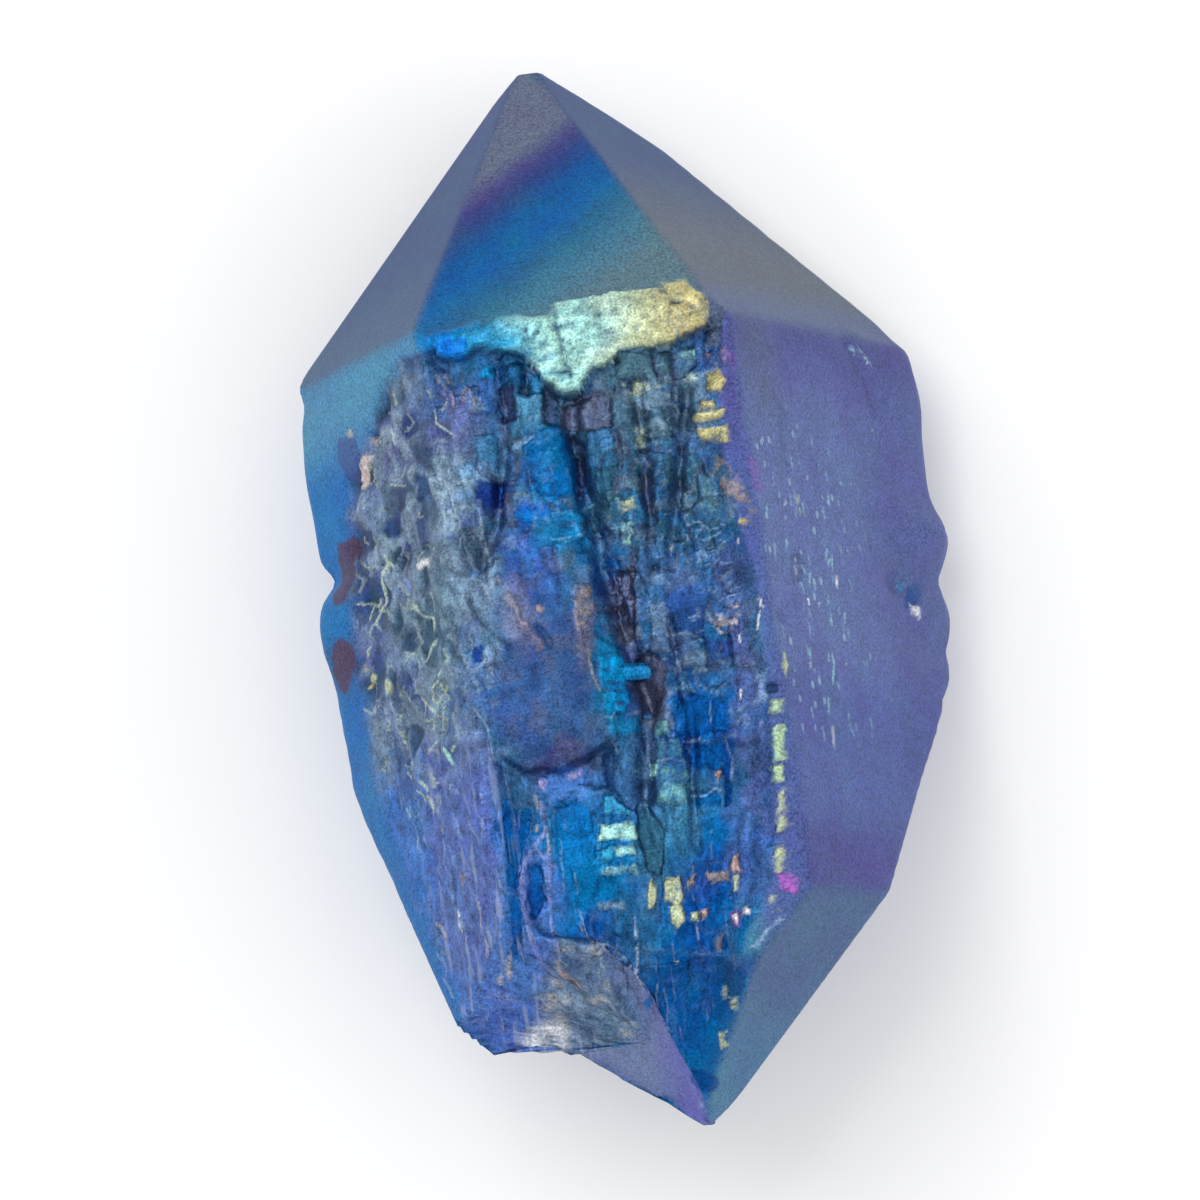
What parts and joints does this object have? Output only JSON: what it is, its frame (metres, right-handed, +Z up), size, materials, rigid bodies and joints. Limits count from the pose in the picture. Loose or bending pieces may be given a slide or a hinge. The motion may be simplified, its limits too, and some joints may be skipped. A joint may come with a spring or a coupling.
{
  "type": "aura quartz point",
  "caption": "Stubby natural quartz crystal with a pointed tip at each end, etched stepped upper side and broken root, with a blue and violet metallic coating, lying on a flat back face.",
  "frame": {"origin": "on the surface that the crystal lies on, under the middle of its outline", "axes": "+Y along the crystal's long axis towards its main tip, +Z up through the etched upper side"},
  "size_m": [0.0196, 0.0332, 0.0125],
  "materials": {
    "aura_coated_quartz": "satin metallic film on natural quartz, blue to violet with mint and gold patches"
  },
  "bodies": {
    "root": {"quartz_point": "aura_coated_quartz"}
  },
  "joints": []
}
